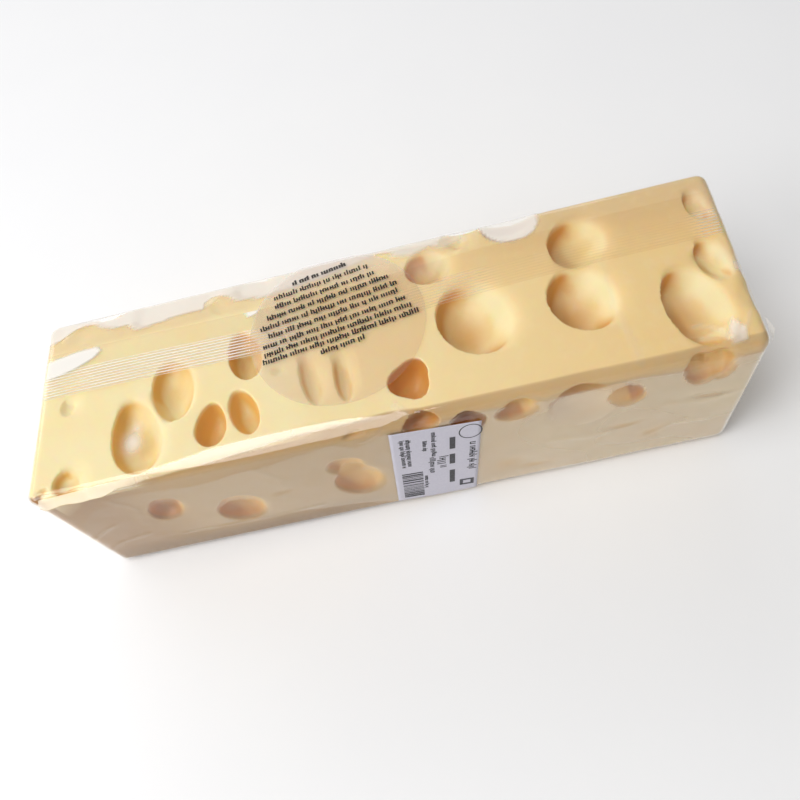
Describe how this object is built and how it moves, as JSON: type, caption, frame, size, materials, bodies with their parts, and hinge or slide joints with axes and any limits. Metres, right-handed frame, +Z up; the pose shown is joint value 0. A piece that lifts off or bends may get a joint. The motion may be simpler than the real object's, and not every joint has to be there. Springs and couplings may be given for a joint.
{
  "type": "cheese block",
  "caption": "Long bar of holey pressed cheese, flow-packed in clear film with a ribbed seam, a clear round label and a white weight label.",
  "frame": {"origin": "middle of the footprint, on the surface that the pack lies on", "axes": "+X along the bar, to the right as the front is faced; +Z up, through the face with the seam and the round label; -Y out of the front face with the weight label"},
  "size_m": [0.2814, 0.0832, 0.0768],
  "materials": {
    "filmed_cheese": "pale yellow pressed cheese with deeper ochre eyes, under tight glossy clear film",
    "seam_film": "doubled clear film, crimped in fine parallel ribs",
    "clear_label": "milky see-through label film with fine dark brown print",
    "white_label": "satin white thermal paper with black print"
  },
  "bodies": {
    "root": {"cheese_block": "filmed_cheese", "film_seam": "seam_film", "end_seal_left": "seam_film", "end_seal_right": "seam_film", "round_label": "clear_label", "weight_label": "white_label"}
  },
  "joints": []
}
